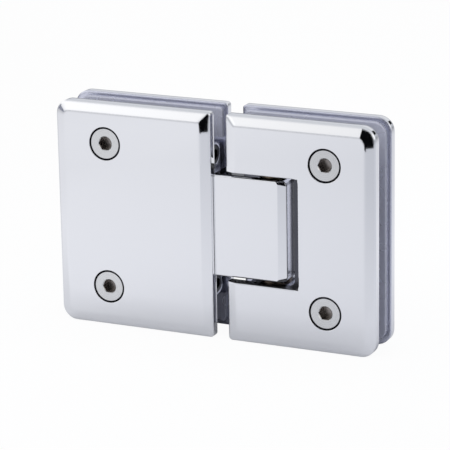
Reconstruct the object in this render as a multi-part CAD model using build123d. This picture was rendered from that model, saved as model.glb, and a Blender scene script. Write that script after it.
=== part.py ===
"""Glass door hinge, 180 degrees, glass to glass.

Two clamps hold two panes edge to edge. The fixed clamp carries a pivot block whose knuckle
stands out into a U-shaped cut-out of the moving clamp. A vertical pin is locked in the two
ears of the moving clamp and turns in bushes in the knuckle. Two sprung plungers inside the
knuckle press on flats of the pin, so the door centres itself at 0 and at 90 degrees each way.

Frame, in millimetres: +Z up, +X from the fixed clamp to the moving one, -Y towards the side
with the screw heads. The origin is the middle of the base on which the clamps stand.
"""
import os

from build123d import *

os.makedirs("parts", exist_ok=True)

# ---------------------------------------------------------------- driving dimensions
clamp_height = 90.0
fixed_width = 66.0
moving_width = 61.0
leaf_gap = 6.5
plate_thickness = 5.0
glass_thickness = 10.0
gasket_thickness = 1.5

bevel_width = 3.9            # in the plane of the plate
bevel_depth = 1.6            # off its thickness
outer_corner_radius = 6.0    # corners away from the gap
inner_corner_radius = 1.4    # corners beside the gap
face_edge_round = 0.8        # polished edge between face and bevel
rim_edge_round = 0.4         # polished edge between bevel and side wall

knuckle_height = 40.8
knuckle_reach = 7.5          # from the pin's axis to the nose
knuckle_half_depth = 8.1     # it stands out a little beyond the glass and its gaskets
shoulder_gap = 0.1           # between the knuckle's shoulders and the fixed clamp
neck_setback = 1.0           # of the neck's top and bottom from the knuckle's
knuckle_edge_round = 0.6     # round its faces, except at the shoulders
end_bevel_width = 0.4        # above and below its faces
nose_bevel_width = 3.2
nose_corner_radius = 2.5
cutout_length = 30.0
cutout_above = 2.2           # room over the knuckle, filled by the thrust collar
cutout_below = 0.8
cutout_corner_radius = 2.0
cutout_edge_break = 0.35

pin_inset = 16.0             # from the moving clamp's gap edge to the pin's axis
pin_radius = 4.0
pin_length = 70.0
pin_bore_clearance = 0.2     # between the pin and the knuckle, which the bushes keep apart
end_chamfer = 0.4            # on the ends of the pin and the plungers
flat_distance = 3.4          # from the pin's axis to each flat of its cam
running_clearance = 0.05

screw_inset_fixed = 21.5     # from the clamp's outer edge
screw_inset_moving = 20.0
screw_spacing = 58.0
screw_radius = 3.0
screw_head_radius = 6.2
screw_head_sink = 0.2        # of the head below the plate's face
screw_head_land = 0.9        # straight side of the head, above its cone
countersink_radius = 6.7
screw_hex = 5.0
screw_clearance = 0.3        # round a screw that passes through a hole
screw_tip_gap = 1.0          # between a clamp screw and the floor of its tapped hole
screw_boss_radius = 4.5
screw_boss_height = 7.0
tapped_hole_floor = 3.0      # metal left behind a tapped hole
socket_chamfer = 0.5

flange_setback = 2.6         # of the pivot block's flange from the fixed clamp's gap edge
flange_thickness = 7.0
flange_height = 61.0
flange_half_depth = 4.3      # it stands in the slot for the glass
flange_edge_round = 2.5
anchor_length = 12.0         # of the anchor block that the flange is screwed to
anchor_corner_radius = 1.5
block_screw_spacing = 52.0
block_screw_radius = 2.5
block_screw_length = 12.0
block_screw_head_radius = 3.5
block_screw_head_height = 4.0
block_screw_hex = 4.0

bush_radius = 5.0
bush_length = 8.0
collar_radius = 6.0
plunger_radius = 3.95
plunger_length = 10.0
plunger_spacing = 16.0
plunger_spigot_radius = 2.0
plunger_spigot_length = 2.0
spring_radius = 2.95         # to the middle of the wire
spring_wire_radius = 0.6
spring_turns = 6
spring_wire_sides = 8        # the wire is drawn with flat sides, to keep its mesh light

yoke_height = 78.0
yoke_half_width = 8.0        # from the pin's axis to the yoke's gap side
yoke_reach = 10.5            # from the pin's axis to the yoke's wall behind the nose
yoke_web = 7.5               # behind that wall
yoke_corner_radius = 5.0
set_screw_radius = 2.5
set_screw_offset = 31.0      # above and below the knuckle's centre
set_screw_hex = 2.5
set_screw_seat = 3.5         # from the pin's axis to the flats the set screws bear on
seat_margin = 1.0            # of each flat beyond its set screw

gasket_inset = 1.8
gasket_corner_radius = 5.0
gasket_edge_round = 0.5
gasket_relief = 1.0          # room between a gasket's notch and the block in it
gasket_hole_room = 0.5       # round the screws and their bosses

# ---------------------------------------------------------------- derived dimensions
slot_half = glass_thickness / 2
inner_half = slot_half + gasket_thickness            # inner face of each plate
depth_half = inner_half + plate_thickness            # outer face of each plate
middle = clamp_height / 2                            # height of the knuckle's centre

fixed_left = -(fixed_width + leaf_gap + moving_width) / 2
fixed_right = fixed_left + fixed_width
moving_left = fixed_right + leaf_gap
moving_right = moving_left + moving_width
pin_x = moving_left + pin_inset
nose_x = pin_x + knuckle_reach
knuckle_left = fixed_right + shoulder_gap
cutout_right = moving_left + cutout_length
cutout_top = middle + knuckle_height / 2 + cutout_above
cutout_bottom = middle - knuckle_height / 2 - cutout_below

flange_right = fixed_right - flange_setback
flange_left = flange_right - flange_thickness
anchor_left = flange_left - anchor_length
yoke_left = pin_x - yoke_half_width
yoke_wall = pin_x + yoke_reach
yoke_right = yoke_wall + yoke_web

head_face_y = -depth_half + screw_head_sink
head_cone_y = head_face_y + screw_head_land          # where the head's cone begins
fixed_screw_x = fixed_left + screw_inset_fixed
moving_screw_x = moving_right - screw_inset_moving
levels = {"upper": 1, "lower": -1}                   # side of the middle for paired pieces


# ---------------------------------------------------------------- shared shapes
def box(x_range, y_range, z_range):
    """Axis-aligned block between the given limits."""
    sizes = [high - low for low, high in (x_range, y_range, z_range)]
    centre = [(low + high) / 2 for low, high in (x_range, y_range, z_range)]
    return Pos(*centre) * Box(*sizes)


def rod_x(x_range, y, z, radius):
    """Round bar or bore along X."""
    low, high = x_range
    return Pos((low + high) / 2, y, z) * Rot(0, 90, 0) * Cylinder(radius, high - low)


def rod_y(x, y_range, z, radius):
    """Round bar or bore along Y."""
    low, high = y_range
    return Pos(x, (low + high) / 2, z) * Rot(90, 0, 0) * Cylinder(radius, high - low)


def rod_z(x, y, z_range, radius):
    """Round bar or bore along Z."""
    low, high = z_range
    return Pos(x, y, (low + high) / 2) * Cylinder(radius, high - low)


def outline(y, x_range, z_range, radius_left, radius_right):
    """Upright rectangle at depth y, with one corner radius on each side."""
    (x_low, x_high), (z_low, z_high) = x_range, z_range
    face = Pos((x_low + x_high) / 2, (z_low + z_high) / 2) * Rectangle(x_high - x_low, z_high - z_low)
    corners = face.vertices().sort_by(Axis.X)
    if radius_left:
        face = fillet(corners[:2], radius_left)
        corners = face.vertices().sort_by(Axis.X)
    if radius_right:
        face = fillet(corners[-2:], radius_right)
    return Plane.XZ.offset(-y) * face


def slab(y_range, x_range, z_range, radius_left, radius_right):
    """Flat plate with rounded corners, between two depths."""
    low, high = y_range
    return extrude(outline(high, x_range, z_range, radius_left, radius_right), high - low)


def cone_y(x, y_range, z, radius_low, radius_high):
    """Cone along Y, with its radius given at each end."""
    low, high = y_range
    return Pos(x, (low + high) / 2, z) * Rot(-90, 0, 0) * Cone(radius_low, radius_high, high - low)


def edges_at_depth(shape, y):
    """Edges that lie wholly at one depth."""
    slack = 0.001
    edges = shape.edges().filter_by_position(Axis.Y, y - slack, y + slack)
    return edges.filter_by(lambda edge: edge.bounding_box().size.Y < slack)


def polished(shape, face_y, rim_y):
    """Round the edge of a face and the rim of the bevel round it."""
    shape = fillet(edges_at_depth(shape, face_y), face_edge_round)
    return fillet(edges_at_depth(shape, rim_y), rim_edge_round)


def mirrored(shape):
    """The same shape on the other side of the glass."""
    return mirror(shape, Plane.XZ)


# ---------------------------------------------------------------- cover plates
def cover_plate(x_range, radius_left, radius_right):
    """Front plate: a wall round its outline and a bevel up to the face."""
    z_range = (0, clamp_height)
    wall_y = -depth_half + bevel_depth
    wall = slab((wall_y, -inner_half), x_range, z_range, radius_left, radius_right)

    face_x = (x_range[0] + bevel_width, x_range[1] - bevel_width)
    face_z = (bevel_width, clamp_height - bevel_width)
    face_radii = [max(radius - bevel_width, face_edge_round) for radius in (radius_left, radius_right)]
    rim = outline(wall_y, x_range, z_range, radius_left, radius_right)
    face = outline(-depth_half, face_x, face_z, *face_radii)
    return polished(wall + loft([rim, face], ruled=True), -depth_half, wall_y)


def clamp_plates(x_range, radius_left, radius_right, screw_x):
    """Front plate with its countersunk holes, and rear plate with its tapped bosses."""
    front = cover_plate(x_range, radius_left, radius_right)
    rear = mirrored(front)
    for side in levels.values():
        z = middle + side * screw_spacing / 2
        hole_radius = screw_radius + screw_clearance
        sink_start = head_cone_y - (countersink_radius - screw_head_radius)
        sink_end = sink_start + countersink_radius - hole_radius
        front -= rod_y(screw_x, (-depth_half, sink_start), z, countersink_radius)
        front -= cone_y(screw_x, (sink_start, sink_end), z, countersink_radius, hole_radius)
        front -= rod_y(screw_x, (sink_end, -inner_half), z, hole_radius)
        boss_end = inner_half - screw_boss_height
        hole_end = depth_half - tapped_hole_floor
        rear += rod_y(screw_x, (boss_end, hole_end), z, screw_boss_radius)
        rear -= rod_y(screw_x, (boss_end, hole_end), z, screw_radius)
    return front, rear


def fixed_clamp_plates():
    """Plates of the fixed clamp. The rear one carries the anchor for the pivot block."""
    x_range = (fixed_left, fixed_right)
    front, rear = clamp_plates(x_range, outer_corner_radius, inner_corner_radius, fixed_screw_x)
    anchor_z = (middle - flange_height / 2, middle + flange_height / 2)
    rear += slab((-inner_half, inner_half), (anchor_left, flange_left), anchor_z, anchor_corner_radius, 0)
    for side in levels.values():
        z = middle + side * block_screw_spacing / 2
        rear -= rod_x((anchor_left, flange_left), 0, z, block_screw_radius)
    return front, rear


def cutout_outline(y, right, room):
    """U-shaped space round the knuckle at one depth, open towards the gap."""
    x_range = (moving_left - 2 * cutout_corner_radius, right + room)
    z_range = (cutout_bottom - room, cutout_top + room)
    return outline(y, x_range, z_range, 0, cutout_corner_radius + room)


def plate_cutout():
    """The space through the rear plate, with its mouth eased."""
    space = extrude(cutout_outline(depth_half, cutout_right, 0), plate_thickness)
    inner = cutout_outline(depth_half - cutout_edge_break, cutout_right, 0)
    return space + loft([inner, cutout_outline(depth_half, cutout_right, cutout_edge_break)])


def yoke():
    """Block between the plates, with two ears that hold the pin's ends."""
    yoke_z = (middle - yoke_height / 2, middle + yoke_height / 2)
    yoke_y = (-inner_half, inner_half)
    block = slab(yoke_y, (yoke_left, yoke_right), yoke_z, yoke_corner_radius, yoke_corner_radius)
    block -= extrude(cutout_outline(inner_half, yoke_wall, 0), 2 * inner_half)
    block -= rod_z(pin_x, 0, (middle - pin_length / 2, yoke_z[1]), pin_radius)
    for side in levels.values():
        z = middle + side * set_screw_offset
        block -= rod_x((yoke_left, pin_x), 0, z, set_screw_radius)
    return block


def moving_clamp_plates():
    """Plates of the moving clamp. The rear one carries the yoke."""
    x_range = (moving_left, moving_right)
    front, rear = clamp_plates(x_range, inner_corner_radius, outer_corner_radius, moving_screw_x)
    front -= mirrored(plate_cutout())
    rear -= plate_cutout()
    return front, rear + yoke()


# ---------------------------------------------------------------- gaskets
def gasket(x_range, radius_left, radius_right, notch, screw_x, hole_radius):
    """Rear gasket: a clear sheet with a notch round the block in the glass's cut-out."""
    y_range = (slot_half, inner_half)
    x_inset = (x_range[0] + gasket_inset, x_range[1] - gasket_inset)
    z_inset = (gasket_inset, clamp_height - gasket_inset)
    sheet = slab(y_range, x_inset, z_inset, radius_left, radius_right)
    sheet = fillet(sheet.faces().sort_by(Axis.Y)[0].edges(), gasket_edge_round)
    sheet -= notch
    for side in levels.values():
        sheet -= rod_y(screw_x, y_range, middle + side * screw_spacing / 2, hole_radius)
    return sheet


def fixed_gasket(hole_radius):
    """Gasket of the fixed clamp, notched for the flange and its anchor."""
    reach = flange_height / 2 + gasket_relief
    notch_x = (anchor_left - gasket_relief, fixed_right)
    notch = slab((slot_half, inner_half), notch_x, (middle - reach, middle + reach), flange_edge_round, 0)
    x_range = (fixed_left, fixed_right)
    radii = (gasket_corner_radius, inner_corner_radius)
    return gasket(x_range, *radii, notch, fixed_screw_x, hole_radius)


def moving_gasket(hole_radius):
    """Gasket of the moving clamp, notched for the yoke."""
    reach = yoke_height / 2 + gasket_relief
    notch_x = (moving_left, yoke_right + gasket_relief)
    notch = slab((slot_half, inner_half), notch_x, (middle - reach, middle + reach), 0, yoke_corner_radius)
    x_range = (moving_left, moving_right)
    radii = (inner_corner_radius, gasket_corner_radius)
    return gasket(x_range, *radii, notch, moving_screw_x, hole_radius)


# ---------------------------------------------------------------- pivot block
def knuckle():
    """Block in the cut-out, bevelled widely at its nose and narrowly above and below."""
    knuckle_x = (knuckle_left, nose_x)
    knuckle_z = (middle - knuckle_height / 2, middle + knuckle_height / 2)
    wall_y = knuckle_half_depth - bevel_depth
    block = slab((-wall_y, wall_y), knuckle_x, knuckle_z, 0, nose_corner_radius)

    face_x = (knuckle_left, nose_x - nose_bevel_width)
    face_z = (knuckle_z[0] + end_bevel_width, knuckle_z[1] - end_bevel_width)
    rim = outline(-wall_y, knuckle_x, knuckle_z, 0, nose_corner_radius)
    face = outline(-knuckle_half_depth, face_x, face_z, 0, nose_corner_radius / 2)
    cheek = loft([rim, face], ruled=True)
    block += cheek
    block += mirrored(cheek)
    for depth, radius in ((knuckle_half_depth, knuckle_edge_round), (wall_y, rim_edge_round)):
        edges = edges_at_depth(block, -depth) + edges_at_depth(block, depth)
        block = fillet([edge for edge in edges if edge.center().X > knuckle_left + radius], radius)
    return block


def pivot_block():
    """Knuckle, neck and flange in one piece, bored for the pin, the bushes and the plungers."""
    knuckle_z = (middle - knuckle_height / 2, middle + knuckle_height / 2)
    neck_x = (flange_left + flange_thickness / 2, knuckle_left + neck_setback)
    neck_z = (knuckle_z[0] + neck_setback, knuckle_z[1] - neck_setback)
    block = knuckle() + box(neck_x, (-inner_half, inner_half), neck_z)

    flange_z = (middle - flange_height / 2, middle + flange_height / 2)
    flange = box((flange_left, flange_right), (-flange_half_depth, flange_half_depth), flange_z)
    flange = fillet(flange.edges().filter_by(Axis.X), flange_edge_round)
    block += flange

    block -= rod_z(pin_x, 0, knuckle_z, pin_radius + pin_bore_clearance)
    block -= rod_z(pin_x, 0, (knuckle_z[1] - bush_length, knuckle_z[1]), bush_radius)
    block -= rod_z(pin_x, 0, (knuckle_z[0], knuckle_z[0] + bush_length), bush_radius)
    for side in levels.values():
        plunger_z = middle + side * plunger_spacing / 2
        block -= rod_x((flange_left, pin_x), 0, plunger_z, plunger_radius + running_clearance)
        screw_z = middle + side * block_screw_spacing / 2
        block -= rod_x((flange_left, flange_right), 0, screw_z, block_screw_radius + screw_clearance)
        head_room = (flange_right - block_screw_head_height, flange_right)
        block -= rod_x(head_room, 0, screw_z, block_screw_head_radius + screw_clearance)
    return block


def bush(side, collar_thickness):
    """Flanged bush, pressed into one end of the knuckle's bore."""
    end = middle + side * knuckle_height / 2
    inner, outer = end - side * bush_length, end + side * collar_thickness
    body = rod_z(pin_x, 0, sorted((inner, end)), bush_radius)
    body += rod_z(pin_x, 0, sorted((end, outer)), collar_radius)
    return body - rod_z(pin_x, 0, sorted((inner, outer)), pin_radius + running_clearance)


def pivot_pin():
    """Pin with four cam flats for the plungers and a seat for each set screw."""
    pin_z = (middle - pin_length / 2, middle + pin_length / 2)
    pin = rod_z(pin_x, 0, pin_z, pin_radius)
    pin = chamfer(pin.edges().filter_by(GeomType.CIRCLE), end_chamfer)
    cam_half = knuckle_height / 2 - bush_length
    cam_z = (middle - cam_half, middle + cam_half)
    band = rod_z(pin_x, 0, cam_z, 2 * pin_radius)
    width = (-flat_distance, flat_distance)
    pin -= band - box((pin_x - flat_distance, pin_x + flat_distance), width, cam_z)
    for side in levels.values():
        inner = middle + side * (set_screw_offset - set_screw_radius - seat_margin)
        seat_z = sorted((inner, middle + side * pin_length / 2))
        pin -= box((pin_x - pin_radius, pin_x - set_screw_seat), (-pin_radius, pin_radius), seat_z)
    return pin


# ---------------------------------------------------------------- centring mechanism
plunger_nose = pin_x - pin_radius - running_clearance
plunger_tail = plunger_nose - plunger_length


def plunger(side):
    """Sprung follower with a flat nose, held back just clear of the pin's lobes."""
    z = middle + side * plunger_spacing / 2
    body = rod_x((plunger_tail, plunger_nose), 0, z, plunger_radius)
    body = chamfer(body.edges().filter_by(GeomType.CIRCLE), end_chamfer)
    spigot_x = (plunger_tail - plunger_spigot_length, plunger_tail)
    return body + rod_x(spigot_x, 0, z, plunger_spigot_radius)


def spring(side):
    """Coil spring between the plunger and the anchor, with its ends ground flat."""
    length = plunger_tail - flange_left
    wire_length = length + 2 * spring_wire_radius
    path = Helix(wire_length / spring_turns, wire_length, spring_radius)
    section = RegularPolygon(spring_wire_radius, spring_wire_sides)
    section = Plane(origin=path @ 0, z_dir=path % 0) * section
    coil = Pos(0, 0, -spring_wire_radius) * sweep(section, path=path, is_frenet=True)
    coil &= Pos(0, 0, length / 2) * Cylinder(2 * spring_radius, length)
    return Pos(flange_left, 0, middle + side * plunger_spacing / 2) * Rot(0, 90, 0) * coil


# ---------------------------------------------------------------- fasteners
def hexagon(across_flats, depth):
    """Prism for a hex key, from z = 0 down."""
    return Pos(0, 0, -depth) * extrude(RegularPolygon(across_flats / 2, 6, major_radius=False), depth)


def clamp_screw(x, side):
    """Countersunk screw from the front plate into the rear plate's boss."""
    z = middle + side * screw_spacing / 2
    neck_y = head_cone_y + screw_head_radius - screw_radius
    tip_y = depth_half - tapped_hole_floor - screw_tip_gap
    screw = rod_y(x, (head_face_y, head_cone_y), z, screw_head_radius)
    screw += cone_y(x, (head_cone_y, neck_y), z, screw_head_radius, screw_radius)
    screw += rod_y(x, (neck_y, tip_y), z, screw_radius)

    mouth_radius = screw_hex / 2 + socket_chamfer
    socket = hexagon(screw_hex, neck_y - head_face_y)
    socket += Pos(0, 0, -mouth_radius / 2) * Cone(0, mouth_radius, mouth_radius)
    return screw - Pos(x, head_face_y, z) * Rot(90, 0, 0) * socket


def block_screw(side):
    """Socket cap screw that holds the pivot block's flange to the anchor."""
    screw = Pos(0, 0, -block_screw_head_height / 2)
    screw *= Cylinder(block_screw_head_radius, block_screw_head_height)
    shank = Cylinder(block_screw_radius, block_screw_length)
    screw += Pos(0, 0, -block_screw_head_height - block_screw_length / 2) * shank
    screw -= hexagon(block_screw_hex, block_screw_head_height / 2)
    return Pos(flange_right, 0, middle + side * block_screw_spacing / 2) * Rot(0, 90, 0) * screw


def set_screw(side):
    """Set screw that locks one end of the pin in the yoke."""
    length = yoke_half_width - set_screw_seat
    screw = Pos(0, 0, -length / 2) * Cylinder(set_screw_radius, length)
    screw -= hexagon(set_screw_hex, length / 2)
    return Pos(yoke_left, 0, middle + side * set_screw_offset) * Rot(0, -90, 0) * screw


# ---------------------------------------------------------------- assembly
fixed_front, fixed_rear = fixed_clamp_plates()
moving_front, moving_rear = moving_clamp_plates()
shank_hole = screw_radius + gasket_hole_room
boss_hole = screw_boss_radius + gasket_hole_room

nodes = {
    "fixed_front_plate": fixed_front,
    "fixed_rear_plate": fixed_rear,
    "fixed_front_gasket": mirrored(fixed_gasket(shank_hole)),
    "fixed_rear_gasket": fixed_gasket(boss_hole),
    "pivot_block": pivot_block(),
    "upper_thrust_bush": bush(1, cutout_above - running_clearance),
    "lower_thrust_bush": bush(-1, cutout_below - running_clearance),
    "moving_front_plate": moving_front,
    "moving_rear_plate": moving_rear,
    "moving_front_gasket": mirrored(moving_gasket(shank_hole)),
    "moving_rear_gasket": moving_gasket(boss_hole),
    "pivot_pin": pivot_pin(),
}
for level, side in levels.items():
    nodes[f"{level}_plunger"] = plunger(side)
    nodes[f"{level}_spring"] = spring(side)
    nodes[f"{level}_block_screw"] = block_screw(side)
    nodes[f"{level}_pin_set_screw"] = set_screw(side)
    nodes[f"fixed_{level}_clamp_screw"] = clamp_screw(fixed_screw_x, side)
    nodes[f"moving_{level}_clamp_screw"] = clamp_screw(moving_screw_x, side)

for name, shape in nodes.items():
    shape.label = name
    export_step(shape, f"parts/{name}.step")
    print(f"{name:26s} {len(shape.solids())} solid, {shape.volume:10.1f} mm3")
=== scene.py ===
# %% [markdown]
# # A polished door hinge for two panes of glass
# Two bevelled clamps stand edge to edge, joined by a knuckle that sits in a U-shaped cut-out.
# The construction comes finished, so this lesson gives it its surfaces and a studio. Polished
# metal has hardly a colour of its own: most of the work is in what it mirrors.

# %% Load the hinge
import math

import bmesh
import bpy
from mathutils import Matrix, Vector


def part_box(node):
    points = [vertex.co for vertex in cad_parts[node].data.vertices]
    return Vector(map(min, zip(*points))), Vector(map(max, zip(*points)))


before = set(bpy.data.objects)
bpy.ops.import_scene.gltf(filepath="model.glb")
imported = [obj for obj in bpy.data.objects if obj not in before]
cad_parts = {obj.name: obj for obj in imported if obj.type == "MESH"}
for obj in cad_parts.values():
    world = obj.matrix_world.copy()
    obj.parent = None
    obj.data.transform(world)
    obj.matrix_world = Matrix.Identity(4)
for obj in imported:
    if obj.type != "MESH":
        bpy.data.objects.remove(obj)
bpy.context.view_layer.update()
mm = 0.001

# %% [markdown]
# ## Camera
# A long lens from a metre away keeps the upright edges nearly parallel, as catalogues do.
# The camera could track an empty, but here it is placed by the direction that it looks from, in
# degrees round the hinge and above the floor, and is turned a hair about its line of sight.

# %% Place the camera
view_azimuth = math.radians(24.93)
view_height = math.radians(16.37)
view_roll = math.radians(-0.985)
view_distance = 0.96715
lens_mm = 202.38
sensor_mm = 36
aim = Vector((5.58, -11.5, 46.71)) * mm

away = Vector((
    math.sin(view_azimuth) * math.cos(view_height),
    -math.cos(view_azimuth) * math.cos(view_height),
    math.sin(view_height),
))
level_right = (-away).cross(Vector((0, 0, 1))).normalized()
level_up = level_right.cross(-away)
right = level_right * math.cos(view_roll) + level_up * math.sin(view_roll)
up = level_up * math.cos(view_roll) - level_right * math.sin(view_roll)

camera_data = bpy.data.cameras.new("camera")
camera_data.lens = lens_mm
camera_data.sensor_width = sensor_mm
camera_data.clip_start = 0.05
camera_data.clip_end = 20
camera = bpy.data.objects.new("camera", camera_data)
scene = bpy.context.scene
scene.collection.objects.link(camera)
turned = Matrix((right, up, away)).transposed()
camera.matrix_world = Matrix.Translation(aim + away * view_distance) @ turned.to_4x4()
scene.camera = camera
scene.view_settings.view_transform = "Standard"
print("camera at", [round(v, 3) for v in camera.matrix_world.translation])

# %% [markdown]
# ## Small helpers for node trees
# The room, each material and each group below is a tree of nodes. These helpers add a node with
# its settings, do sums, carry a value from one range to another and mix, so that every tree
# reads as a list of what it does.


# %% Helpers for nodes
def feed(tree, socket, value):
    """Link a socket to another one, or give it a plain value."""
    if isinstance(value, bpy.types.NodeSocket):
        tree.links.new(value, socket)
    else:
        socket.default_value = value


def add_node(tree, kind, **settings):
    """Add a node. A setting that names a socket fills it, and any other is an attribute."""
    node = tree.nodes.new(kind)
    for name, value in settings.items():
        socket = node.inputs.get(name.replace("_", " "))
        if socket is None:
            setattr(node, name, value)
        else:
            feed(tree, socket, value)
    return node


def maths(tree, operation, first, second=0.0):
    """A Math node on two values or sockets."""
    node = add_node(tree, "ShaderNodeMath", operation=operation)
    feed(tree, node.inputs[0], first)
    feed(tree, node.inputs[1], second)
    return node.outputs[0]


def product(tree, *values):
    """Several values multiplied together."""
    total = values[0]
    for value in values[1:]:
        total = maths(tree, "MULTIPLY", total, value)
    return total


def rest_of(tree, value):
    """What a value lacks of 1."""
    return maths(tree, "SUBTRACT", 1.0, value)


def spread(tree, value, run, ends):
    """Carry a value from its run to the numbers at the run's ends, and hold it beyond them."""
    node = add_node(tree, "ShaderNodeMapRange", Value=value)
    for name, number in zip(("From Min", "From Max", "To Min", "To Max"), (*run, *ends)):
        node.inputs[name].default_value = number
    return node.outputs["Result"]


def mix_colours(tree, factor, first, second):
    """One colour where the factor is 0 and another where it is 1."""
    node = add_node(tree, "ShaderNodeMix", data_type="RGBA")
    for name, value in (("Factor", factor), ("A", first), ("B", second)):
        feed(tree, node.inputs[name], value)
    return node.outputs["Result"]


def mix_shaders(tree, factor, first, second):
    """One shader where the factor is 0 and another where it is 1."""
    node = add_node(tree, "ShaderNodeMixShader", Fac=factor)
    tree.links.new(first.outputs[0], node.inputs[1])
    tree.links.new(second.outputs[0], node.inputs[2])
    return node.outputs[0]


def place_on_object(tree):
    """A point's place in the object's own frame, in metres."""
    return add_node(tree, "ShaderNodeTexCoord").outputs["Object"]


def axes_of(tree, vector):
    """The X, Y and Z of a vector, by name."""
    return add_node(tree, "ShaderNodeSeparateXYZ", Vector=vector).outputs


# %% [markdown]
# ## Room
# Catalogues show chrome in a white tent. It could be built from walls, or wrapped round from a
# panorama of a studio, but a few gradients over the direction of a ray are quicker to tune.
# The camera sees plain white wherever it sees no object. All other rays see the tent itself,
# which isn't even: brightest overhead, which whitens the upper bevels, and dimmer along the
# skyline, behind the hinge and in front, except on the lamp's side. A mirror ray that climbs
# steeply finds less than other rays do, so that the rounded top edges don't burn out. The dim
# parts are a little bluer than the bright ones.

# %% Choose the room's gradients
overhead_run, overhead_glow = (0.0, 0.35), (0.84, 1.18)
lamp_side_run, lamp_side_loss = (-0.47, -0.35), (0.0, 0.19)
front_run, front_share = (-0.7, -0.5), (1.0, 0.0)
skyline_run, skyline_glow = (0.0, 0.2), (0.55, 1.0)
back_wall_run, back_wall_glow = (0.3, 0.75), (1.0, 0.68)
ceiling_run, ceiling_loss = (0.5, 0.65), (0.0, 0.36)
air_run = (0.6, 1.0)
dim_air = (0.92, 0.955, 1.04, 1.0)
bright_air = (0.98, 0.984, 1.0, 1.0)
white = (1.0, 1.0, 1.0, 1.0)
no_to_yes = (0.0, 1.0)
dimmest = round(overhead_glow[0] * skyline_glow[0], 2)
print("the room glows", dimmest, "at the skyline and", overhead_glow[1], "overhead")

# %% Light the room
world = bpy.data.worlds.new("white room")
scene.world = world
world.use_nodes = True
tree = world.node_tree
tree.nodes.clear()
toward = axes_of(tree, add_node(tree, "ShaderNodeTexCoord").outputs["Generated"])
path = add_node(tree, "ShaderNodeLightPath").outputs

overhead = spread(tree, toward["Z"], overhead_run, overhead_glow)
lamp_side = spread(tree, toward["X"], lamp_side_run, lamp_side_loss)
in_front = spread(tree, toward["Y"], front_run, front_share)
off_level = maths(tree, "ABSOLUTE", toward["Z"])
skyline = spread(tree, off_level, skyline_run, skyline_glow)
back_wall = spread(tree, toward["Y"], back_wall_run, back_wall_glow)
ceiling = spread(tree, toward["Z"], ceiling_run, ceiling_loss)
front = rest_of(tree, product(tree, lamp_side, in_front))
mirrored_ceiling = rest_of(tree, product(tree, ceiling, path["Is Glossy Ray"]))
glow = product(tree, overhead, front, skyline, back_wall, mirrored_ceiling)

air = mix_colours(tree, spread(tree, glow, air_run, no_to_yes), dim_air, bright_air)
room = add_node(tree, "ShaderNodeBackground", Color=air, Strength=glow)
plain = add_node(tree, "ShaderNodeBackground", Color=white, Strength=1.0)
seen = mix_shaders(tree, path["Is Camera Ray"], room, plain)
add_node(tree, "ShaderNodeOutputWorld", Surface=seen)
print("world:", world.name, "with", len(tree.nodes), "nodes")

# %% [markdown]
# ## Paper
# The hinge stands on a wide sheet of paper. The camera should find it white, with a faint shadow
# under the hinge, so most of what the camera sees of it is plain white. A stronger lamp could
# whiten it too, but would wash out the metal. Mirrored, the paper is the grey that draws the
# faces and the lower bevels, and that grey carries painted light and shade: painted light close
# to the hinge and beyond its right end, painted shade towards the right in front and far away,
# and a painted shadow from the hinge's foot backwards.


# %% Lay the paper
def new_material(name):
    """An empty material with its shader and output, and the shader's tree."""
    material = bpy.data.materials.new(name)
    material.use_nodes = True
    tree = material.node_tree
    tree.nodes.clear()
    shader = tree.nodes.new("ShaderNodeBsdfPrincipled")
    add_node(tree, "ShaderNodeOutputMaterial", Surface=shader.outputs["BSDF"])
    return material, tree, shader


def make_matt(shader):
    """Leave a shader no shine."""
    shader.inputs["Roughness"].default_value = 0.9
    shader.inputs["Specular IOR Level"].default_value = 0.0


paper_size = 6.0
paper_mesh = bpy.data.meshes.new("paper floor")
sheet = bmesh.new()
bmesh.ops.create_grid(sheet, x_segments=1, y_segments=1, size=paper_size / 2)
sheet.to_mesh(paper_mesh)
sheet.free()
paper = bpy.data.objects.new("paper_floor", paper_mesh)
scene.collection.objects.link(paper)
paper_finish, tree, shader = new_material("white paper")
paper_mesh.materials.append(paper_finish)
print("paper:", paper_size, "m square")

# %% Choose the paper's gradients
# The paper's tones are painted light and painted shade, for the metal to mirror.
paper_in_painted_light = (0.705, 0.712, 0.74, 1.0)
paper_in_painted_shade = (0.505, 0.518, 0.56, 1.0)
across_run = (-0.15, 0.2)
depth_run, depth_share = (0.0, 0.12), (1.0, 0.35)
near_run, near_level = (0.08, 0.28), (1.07, 0.92)
foot_shadow_run, foot_shadow_level = (-0.05, -0.02), (1.0, 0.88)
slant = 0.9
beside_run, beside_level = (0.03, 0.11), (1.0, 1.2)
far_run, far_level = (0.35, 0.8), (1.0, 0.76)
camera_white = 0.955
print("the camera sees the paper as", camera_white, "plain white")

# %% Tone the paper
place = place_on_object(tree)
axes = axes_of(tree, place)
across = spread(tree, axes["X"], across_run, no_to_yes)
in_front = spread(tree, axes["Y"], depth_run, depth_share)
shade = mix_colours(tree, product(tree, across, in_front), paper_in_painted_light, paper_in_painted_shade)

reach = add_node(tree, "ShaderNodeVectorMath", operation="LENGTH")
tree.links.new(place, reach.inputs[0])
reach = reach.outputs["Value"]
near = spread(tree, reach, near_run, near_level)
# A painted shadow on the paper from the hinge's foot backwards.
painted_foot_shadow = spread(tree, axes["Y"], foot_shadow_run, foot_shadow_level)
slanted = maths(tree, "ADD", product(tree, axes["Y"], slant), axes["X"])
beside = spread(tree, slanted, beside_run, beside_level)
far = spread(tree, reach, far_run, far_level)

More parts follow.
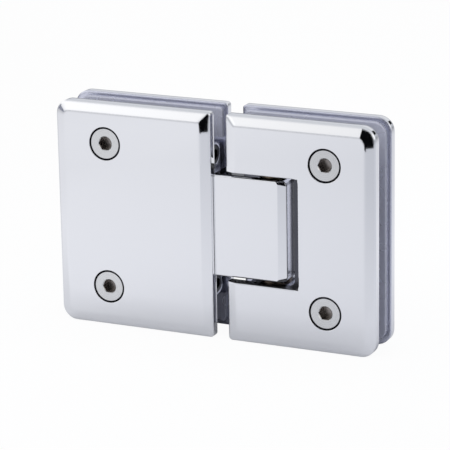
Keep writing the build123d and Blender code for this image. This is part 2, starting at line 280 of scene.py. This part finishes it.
toned = add_node(tree, "ShaderNodeVectorMath", operation="SCALE")
tree.links.new(shade, toned.inputs[0])
tree.links.new(product(tree, near, painted_foot_shadow, beside, far), toned.inputs["Scale"])
tree.links.new(toned.outputs[0], shader.inputs["Base Color"])
make_matt(shader)
plain = add_node(tree, "ShaderNodeEmission", Color=white, Strength=1.0)
path = add_node(tree, "ShaderNodeLightPath").outputs
seen = mix_shaders(tree, product(tree, path["Is Camera Ray"], camera_white), shader, plain)
output = next(node for node in tree.nodes if node.type == "OUTPUT_MATERIAL")
tree.links.new(seen, output.inputs["Surface"])
print("material:", paper_finish.name)

# %% [markdown]
# ## Soft lamp
# One large lamp hangs high on the left in front. It lights the paper that the metal mirrors, and
# gives the faint shadow. The lamp itself is kept out of reflections, because it would burn a
# white line into every rounded edge.

# %% Hang the lamp
lamp_data = bpy.data.lights.new("front_softbox", "AREA")
lamp_data.size = 1.0
lamp_data.energy = 9.0
lamp = bpy.data.objects.new("front_softbox", lamp_data)
scene.collection.objects.link(lamp)
lamp_place = Vector((-0.5, -1.1, 1.3))
lamp_target = Vector((0, 0, 0.05))
lamp.location = lamp_place
lamp.rotation_mode = "QUATERNION"
lamp.rotation_quaternion = (lamp_place - lamp_target).to_track_quat("Z", "Y")
lamp.visible_glossy = False
print("lamp:", lamp_data.energy, "W,", round((lamp_place - lamp_target).length, 2), "m away")

# %% [markdown]
# ## Cards
# In a studio, dark cards beside polished metal give it something dark to mirror. Here the
# black card in front is caught by the clamps' upper right corners and by the screws, the one
# behind by a few narrow edges, and the grey one by the left clamp's upper left corner. These
# accents tell the eye that the metal is polished. Dark patches in the material would stay put
# when the camera moves, but cards give accents that travel over the corners as real ones do.
# They are seen in reflections alone, and cast no shadow.


# %% Stand the cards
def stand_card(name, left, right, foot, top, colour):
    """An upright card between two points of its foot line. Lengths are in millimetres."""
    mesh = bpy.data.meshes.new(name)
    card = bmesh.new()
    half_metre = 0.5
    bmesh.ops.create_grid(card, x_segments=1, y_segments=1, size=half_metre)
    left, right = Vector((*left, 0)) * mm, Vector((*right, 0)) * mm
    run, rise = right - left, (top - foot) * mm
    place = Matrix.Translation((left + right) / 2 + Vector((0, 0, foot * mm + rise / 2)))
    turn = Matrix.Rotation(math.atan2(run.y, run.x), 4, "Z")
    stand = Matrix.Rotation(math.pi / 2, 4, "X")
    scale = Matrix.Diagonal((run.length, rise, 1.0, 1.0))
    bmesh.ops.transform(card, matrix=place @ turn @ stand @ scale, verts=card.verts)
    card.to_mesh(mesh)
    card.free()
    material, _, shader = new_material(name)
    shader.inputs["Base Color"].default_value = colour
    make_matt(shader)
    mesh.materials.append(material)
    placed = bpy.data.objects.new(name, mesh)
    placed.visible_camera = False
    placed.visible_diffuse = False
    placed.visible_shadow = False
    scene.collection.objects.link(placed)
    print("card:", name, round(run.length / mm), "x", top - foot, "mm")


black = (0.004, 0.004, 0.005, 1.0)
grey = (0.34, 0.35, 0.41, 1.0)
stand_card("front_card", (-45, -347), (240, -289), 0, 300, black)
stand_card("back_card", (150, 352), (270, 352), 165, 255, black)
stand_card("left_card", (-567, -20), (-505, -250), 70, 210, grey)

# %% [markdown]
# ## Shared effects
# Three effects are used by several finishes, so each is a group of nodes that is built once and
# placed where it is needed. Polishing rounds the edges of plated metal and leaves a faint haze
# and very shallow waves. Turning on a lathe leaves fine rings round the middle of a screw head
# or a bush. The third is only a mask, and finds the points near the axis of a bore.


# %% Helpers for groups
vectors = ("Centre", "Turn", "Normal")


def new_group(name, inputs, outputs):
    """A group, with what it is given and what it makes. Its sockets are numbers or vectors."""
    group = bpy.data.node_groups.new(name, "ShaderNodeTree")
    for side, labels in (("INPUT", inputs), ("OUTPUT", outputs)):
        for label in labels:
            kind = "NodeSocketVector" if label in vectors else "NodeSocketFloat"
            group.interface.new_socket(name=label, in_out=side, socket_type=kind)
    given = add_node(group, "NodeGroupInput").outputs
    made = add_node(group, "NodeGroupOutput").inputs
    return group, given, made


def vector_maths(tree, operation, first, second):
    """A Vector Math node on a socket and a second vector."""
    node = add_node(tree, "ShaderNodeVectorMath", operation=operation)
    tree.links.new(first, node.inputs[0])
    feed(tree, node.inputs[1], second)
    return node.outputs[0]


def off_axis(tree, vector, flatten):
    """How far a vector reaches from the axis that it is flattened along."""
    flat = vector_maths(tree, "MULTIPLY", vector, flatten)
    node = add_node(tree, "ShaderNodeVectorMath", operation="LENGTH")
    tree.links.new(flat, node.inputs[0])
    return node.outputs["Value"]


flat_along_z = (1.0, 1.0, 0.0)
flat_along_y = (1.0, 0.0, 1.0)

# %% Build the polishing group
cloud_scale, smear_scale, wave_scale = 90.0, 700.0, 28.0
smear_stretch = (1.0, 1.0, 7.0)
edge_samples = 8
polishing, given, made = new_group(
    "polishing",
    ("Roughness", "Haze", "Wave height", "Edge radius"),
    ("Roughness", "Normal"),
)
place = place_on_object(polishing)
cloud = add_node(
    polishing, "ShaderNodeTexNoise", Vector=place, Scale=cloud_scale, Detail=4.0
)
smear = add_node(polishing, "ShaderNodeMapping", Vector=place, Scale=smear_stretch)
lines = add_node(
    polishing, "ShaderNodeTexNoise", Vector=smear.outputs[0], Scale=smear_scale, Detail=2.0
)
haze = product(polishing, cloud.outputs["Fac"], lines.outputs["Fac"], given["Haze"])
polishing.links.new(maths(polishing, "ADD", haze, given["Roughness"]), made["Roughness"])
waves = add_node(
    polishing, "ShaderNodeTexNoise", Vector=place, Scale=wave_scale, Detail=0.0
)
softened = add_node(
    polishing, "ShaderNodeBevel", samples=edge_samples, Radius=given["Edge radius"]
)
relief = add_node(
    polishing,
    "ShaderNodeBump",
    Height=waves.outputs["Fac"],
    Strength=1.0,
    Distance=given["Wave height"],
    Normal=softened.outputs[0],
)
polishing.links.new(relief.outputs["Normal"], made["Normal"])
print("group:", polishing.name)

# %% Build the turning group
rings_per_metre = 5000.0
turning, given, made = new_group("turning", ("Centre", "Turn", "Depth"), ("Rings", "Normal"))
moved = vector_maths(turning, "SUBTRACT", place_on_object(turning), given["Centre"])
upright = add_node(
    turning,
    "ShaderNodeVectorRotate",
    rotation_type="EULER_XYZ",
    Vector=moved,
    Rotation=given["Turn"],
)
reach = off_axis(turning, upright.outputs[0], flat_along_z)
count = product(turning, reach, rings_per_metre)
rings = add_node(turning, "ShaderNodeTexNoise", noise_dimensions="1D", Scale=1.0, Detail=3.0)
turning.links.new(count, rings.inputs["W"])
relief = add_node(
    turning,
    "ShaderNodeBump",
    Height=rings.outputs["Fac"],
    Strength=1.0,
    Distance=given["Depth"],
)
turning.links.new(rings.outputs["Fac"], made["Rings"])
turning.links.new(relief.outputs["Normal"], made["Normal"])
print("group:", turning.name)

# %% Build the group that finds a bore
near_axis, given, made = new_group("near a bore", ("Centre", "Radius"), ("Inside",))
moved = vector_maths(near_axis, "SUBTRACT", place_on_object(near_axis), given["Centre"])
reach = off_axis(near_axis, moved, flat_along_y)
near_axis.links.new(maths(near_axis, "LESS_THAN", reach, given["Radius"]), made["Inside"])
print("group:", near_axis.name)

# %% [markdown]
# ## Chrome
# The clamps are brass, polished and plated with chrome. Only what shows is polished: the inner
# faces, which press on the gaskets, are satin, and the walls of the cut-out and the countersunk
# holes are dull, because neither the polishing mop nor much plating reaches them, and carry a
# near-black painted shade, as shade falls in these recesses.
# The mop rounds the outer edges well, and hardly touches those round the screws and the cut-out.
# Each face could have a slot and a material of its own. Masks made from a point's place tell the
# faces apart as well, so one material serves every plate.


# %% Helpers for finishes
def place_group(tree, group, **values):
    """Put a group into a material with its own values."""
    node = tree.nodes.new("ShaderNodeGroup")
    node.node_tree = group
    for name, value in values.items():
        feed(tree, node.inputs[name.replace("_", " ")], value)
    return node


def within(tree, value, middle, half):
    """1 where a value is nearer to the middle than half."""
    off = maths(tree, "ABSOLUTE", maths(tree, "SUBTRACT", value, middle))
    return maths(tree, "LESS_THAN", off, half)


def either(tree, masks):
    """The largest of several masks."""
    total = masks[0]
    for mask in masks[1:]:
        total = maths(tree, "MAXIMUM", total, mask)
    return total


def middle_of(node):
    """Centre of a part's box."""
    low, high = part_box(node)
    return (low + high) / 2


def near_bore(tree, node, radius):
    """1 within a radius of a screw's axis."""
    bore = place_group(tree, near_axis, Centre=middle_of(node), Radius=radius)
    return bore.outputs["Inside"]


# %% Measure what the chrome's masks need
gap_round_head = 0.42 * mm
cutout_depth = 30.05 * mm
cutout_slack = 0.1 * mm
inner_face = 6.6 * mm
wall_start = 6.45 * mm
screws = [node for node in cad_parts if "clamp_screw" in node]
screw_low, screw_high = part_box(screws[0])
head_radius = (screw_high.x - screw_low.x) / 2
recess_radius = head_radius + gap_round_head
block_low, block_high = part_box("pivot_block")
collar_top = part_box("upper_thrust_bush")[1].z
collar_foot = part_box("lower_thrust_bush")[0].z
cutout_centre = (collar_top + collar_foot) / 2
cutout_half = (collar_top - collar_foot) / 2 + cutout_slack
cutout_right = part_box("moving_front_plate")[0].x + cutout_depth
print("cut-out from", round(collar_foot / mm, 1), "to", round(collar_top / mm, 1), "mm")

# %% Find the edges that stay crisp
rounded_edge, crisp_edge = 1.5 * mm, 0.3 * mm
crisp_margin = 2.0 * mm


def crisp_edges(tree, axes):
    """1 near the cut-out and the screws."""
    level = within(tree, axes["Z"], cutout_centre, cutout_half + crisp_margin)
    side = within(tree, axes["X"], 0.0, cutout_right + crisp_margin)
    rims = [near_bore(tree, node, head_radius + crisp_margin) for node in screws]
    return either(tree, [product(tree, level, side), *rims])


print("edges rounded by", rounded_edge / mm, "mm, crisp ones by", crisp_edge / mm, "mm")

# %% Write the recipe for chrome
plating = (0.875, 0.877, 0.887, 1.0)
satin = (0.70, 0.71, 0.80, 1.0)
# Near-black painted shade for the recesses, also used round the screw heads.
painted_shade = (0.025, 0.025, 0.03, 1.0)
polished_roughness = 0.012
satin_roughness = 0.25
polish_haze = 0.03
polish_waves = 0.012 * mm


def plated(name, find_satin, find_painted_shade, painted_shade_roughness):
    """Polished chrome, satin where the first mask is and painted dark as shade where the second
    is.
    """
    material, tree, shader = new_material(name)
    shader.inputs["Metallic"].default_value = 1.0
    axes = axes_of(tree, place_on_object(tree))
    unpolished = find_satin(tree, axes)
    in_painted_shade = find_painted_shade(tree, axes)
    radius = spread(tree, crisp_edges(tree, axes), no_to_yes, (rounded_edge, crisp_edge))
    polish = place_group(
        tree,
        polishing,
        Roughness=polished_roughness,
        Haze=polish_haze,
        Wave_height=polish_waves,
        Edge_radius=radius,
    )
    dull_satin = product(tree, unpolished, satin_roughness)
    dull_painted_shade = product(tree, in_painted_shade, painted_shade_roughness)
    dull = either(tree, [dull_satin, dull_painted_shade])
    rough = maths(tree, "ADD", polish.outputs["Roughness"], dull)
    metal = mix_colours(tree, unpolished, plating, satin)
    feed(tree, shader.inputs["Base Color"], mix_colours(tree, in_painted_shade, metal, painted_shade))
    feed(tree, shader.inputs["Roughness"], rough)
    feed(tree, shader.inputs["Normal"], polish.outputs["Normal"])
    print("material:", name)
    return material


# %% Make the chrome for the plates
# How strongly painted shade covers the cut-out's walls.
painted_shade_on_walls = 0.9
plate_shade_roughness = 0.25


def inner_faces(tree, axes):
    """All that lies between the plates."""
    return within(tree, axes["Y"], 0.0, inner_face)


def recesses_on_plate(tree, axes):
    """Where shade is painted: the cut-out's walls, the yoke's front and back and the countersunk
    holes.
    """
    front = maths(tree, "LESS_THAN", axes["Y"], -inner_face)
    holes = [product(tree, near_bore(tree, node, recess_radius), front) for node in screws]
    left_of_wall = maths(tree, "LESS_THAN", axes["X"], cutout_right)
    right_of_gap = maths(tree, "GREATER_THAN", axes["X"], 0.0)
    level = within(tree, axes["Z"], cutout_centre, cutout_half)
    outer = rest_of(tree, within(tree, axes["Y"], 0.0, wall_start))
    walls = product(tree, left_of_wall, right_of_gap, level, outer, painted_shade_on_walls)
    return either(tree, [*holes, walls])


chrome = plated(
    "polished chrome on a plate", inner_faces, recesses_on_plate, plate_shade_roughness
)

# %% [markdown]
# The knuckle is polished on its faces and on the edges of its nose. Its top and bottom, and the
# middle of its nose, which lies deep in the cut-out, are a little duller and carry painted
# shade.
# On the nose the painted shade thins out towards the nose's edges. Its flange is only satin, as
# are the inner faces of the plates.

# %% Make the chrome for the knuckle
neck_end = -0.75 * mm
knuckle_start = -0.7 * mm
# Beyond this half height the knuckle's ends are painted dark as shade.
painted_shade_beyond = 20.15 * mm
nose_skin = 0.5 * mm
# On the nose, painted shade fades from full to faint between these distances from its middle.
nose_run, nose_painted_shade = (2.0 * mm, 4.4 * mm), (1.0, 0.08)
knuckle_shade_roughness = 0.06


def flange_and_neck(tree, axes):
    """What lies inside the fixed clamp and in the gap between the clamps."""
    return maths(tree, "LESS_THAN", axes["X"], neck_end)


def painted_shade_on_knuckle(tree, axes):
    """Where shade is painted: the knuckle's top and bottom between the bevels, and the middle of
    its nose.
    """
    centre = (block_low.z + block_high.z) / 2
    ends = rest_of(tree, within(tree, axes["Z"], centre, painted_shade_beyond))
    thinning = spread(tree, maths(tree, "ABSOLUTE", axes["Y"]), nose_run, nose_painted_shade)
    on_nose = maths(tree, "GREATER_THAN", axes["X"], block_high.x - nose_skin)
    nose = product(tree, thinning, on_nose)
    knuckle = maths(tree, "GREATER_THAN", axes["X"], knuckle_start)
    return product(tree, either(tree, [ends, nose]), knuckle)


knuckle_chrome = plated(
    "polished chrome on the knuckle",
    flange_and_neck,
    painted_shade_on_knuckle,
    knuckle_shade_roughness,
)

# %% [markdown]
# ## Steel, bronze and spring wire
# All these were turned on a lathe or ground, which leaves fine rings. The clamp screws are
# stainless steel, painted dark as shade inside their sockets and round their rims, and the cap
# screws inside are blackened. The thrust bushes are bronze, darkened as painted shade of the
# slot they sit in. The pin, the set screws and the springs are ground steel, and the plungers
# are hardened and darker.

# %% Choose the other metals
steel = (0.80, 0.80, 0.79, 1.0)
# Painted shade for the inside of a screw's hexagon socket.
painted_socket_shade = (0.36, 0.33, 0.31, 1.0)
blackened = (0.05, 0.05, 0.055, 1.0)
ground = (0.58, 0.58, 0.59, 1.0)
dark_steel = (0.22, 0.22, 0.23, 1.0)
# Bronze darkened well below its own colour, as painted shade of the slot round the knuckle.
bronze_in_painted_shade = (0.22, 0.17, 0.125, 1.0)
along_x = (0.0, math.pi / 2, 0.0)
along_y = (math.pi / 2, 0.0, 0.0)
along_z = (0.0, 0.0, 0.0)
groove, fine_groove = 0.004 * mm, 0.002 * mm
socket_radius = 3.1 * mm
socket_start = 0.3 * mm
rim_width = 0.3 * mm
print("screw heads are", round(2 * head_radius / mm, 1), "mm wide")


# %% Turn metal on a lathe
ring_shade = 0.86
smoothest_ring, dullest_ring = 0.85, 1.2
noise_run = (0.3, 0.7)


def paint_socket_and_rim_shade(tree, face, node):
    """Paint shade into a clamp screw's hexagon socket and round its head's rim."""
    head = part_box(node)[0].y
    depth = axes_of(tree, place_on_object(tree))["Y"]
    below = maths(tree, "GREATER_THAN", depth, head + socket_start)
    in_socket = product(tree, near_bore(tree, node, socket_radius), below)
    on_rim = rest_of(tree, near_bore(tree, node, head_radius - rim_width))
    return mix_colours(tree, on_rim, mix_colours(tree, in_socket, face, painted_socket_shade), painted_shade)


def turned_metal(node, colour, roughness, turn, depth):
    """A metal with lathe rings round the axis of a part."""
    material, tree, shader = new_material(node)
    shader.inputs["Metallic"].default_value = 1.0
    lathe = place_group(tree, turning, Centre=middle_of(node), Turn=turn, Depth=depth)
    rings = lathe.outputs["Rings"]
    darker = [channel * ring_shade for channel in colour[:3]] + [1.0]
    face = mix_colours(tree, rings, darker, colour)
    if node in screws:
        face = paint_socket_and_rim_shade(tree, face, node)
    ends = (roughness * smoothest_ring, roughness * dullest_ring)
    rough = spread(tree, rings, noise_run, ends)
    feed(tree, shader.inputs["Base Color"], face)
    feed(tree, shader.inputs["Roughness"], rough)
    feed(tree, shader.inputs["Normal"], lathe.outputs["Normal"])
    return material


print("rings every", round(1 / rings_per_metre / mm, 2), "mm")

# %% [markdown]
# ## Clear gaskets
# Soft clear vinyl sheets lie between metal and glass. Vinyl is clear, but sheets like these are
# a little milky: half of the surface passes light and blurs it, and the other half is pale. So
# it takes on a cool grey from the metal behind it, and its cut edges look lighter. A slow noise
# varies its tint and its dullness, as handling does.

# %% Make the clear vinyl
cool_vinyl = (0.78, 0.80, 0.97, 1.0)
pale_vinyl = (0.86, 0.88, 1.0, 1.0)
vinyl_roughness = (0.2, 0.34)
mottle_scale = 90.0
vinyl, tree, shader = new_material("clear vinyl")
shader.inputs["Transmission Weight"].default_value = 0.5
shader.inputs["IOR"].default_value = 1.45
mottle = add_node(
    tree, "ShaderNodeTexNoise", Vector=place_on_object(tree), Scale=mottle_scale, Detail=1.0
).outputs["Fac"]
feed(tree, shader.inputs["Base Color"], mix_colours(tree, mottle, cool_vinyl, pale_vinyl))
feed(tree, shader.inputs["Roughness"], spread(tree, mottle, noise_run, vinyl_roughness))
print("material:", vinyl.name)

# %% [markdown]
# ## Give every part its finish
# A part's own material slot is filled, so its shape stays exactly as it was built. The first
# word below that is in a part's name decides its finish. Turned parts have a material each,
# because their rings run round their own middles.

# %% Dress the parts
finishes = {
    "plate": chrome,
    "pivot_block": knuckle_chrome,
    "gasket": vinyl,
}
# Colour, roughness, axis and depth of the grooves.
turned_finishes = {
    "clamp_screw": (steel, 0.3, along_y, groove),
    "block_screw": (blackened, 0.3, along_x, groove),
    "set_screw": (ground, 0.25, along_x, groove),
    "bush": (bronze_in_painted_shade, 0.3, along_z, groove),
    "pin": (ground, 0.12, along_z, fine_groove),
    "plunger": (dark_steel, 0.3, along_x, groove),
    "spring": (ground, 0.3, along_x, fine_groove),
}


def finish_of(node):
    """The material that suits a part's name."""
    for word, material in finishes.items():
        if word in node:
            return material
    word = next(word for word in turned_finishes if word in node)
    return turned_metal(node, *turned_finishes[word])


for node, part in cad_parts.items():
    material = finish_of(node)
    for slot in part.material_slots:
        slot.link = "DATA"
        slot.material = material
print("dressed", len(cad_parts), "parts")
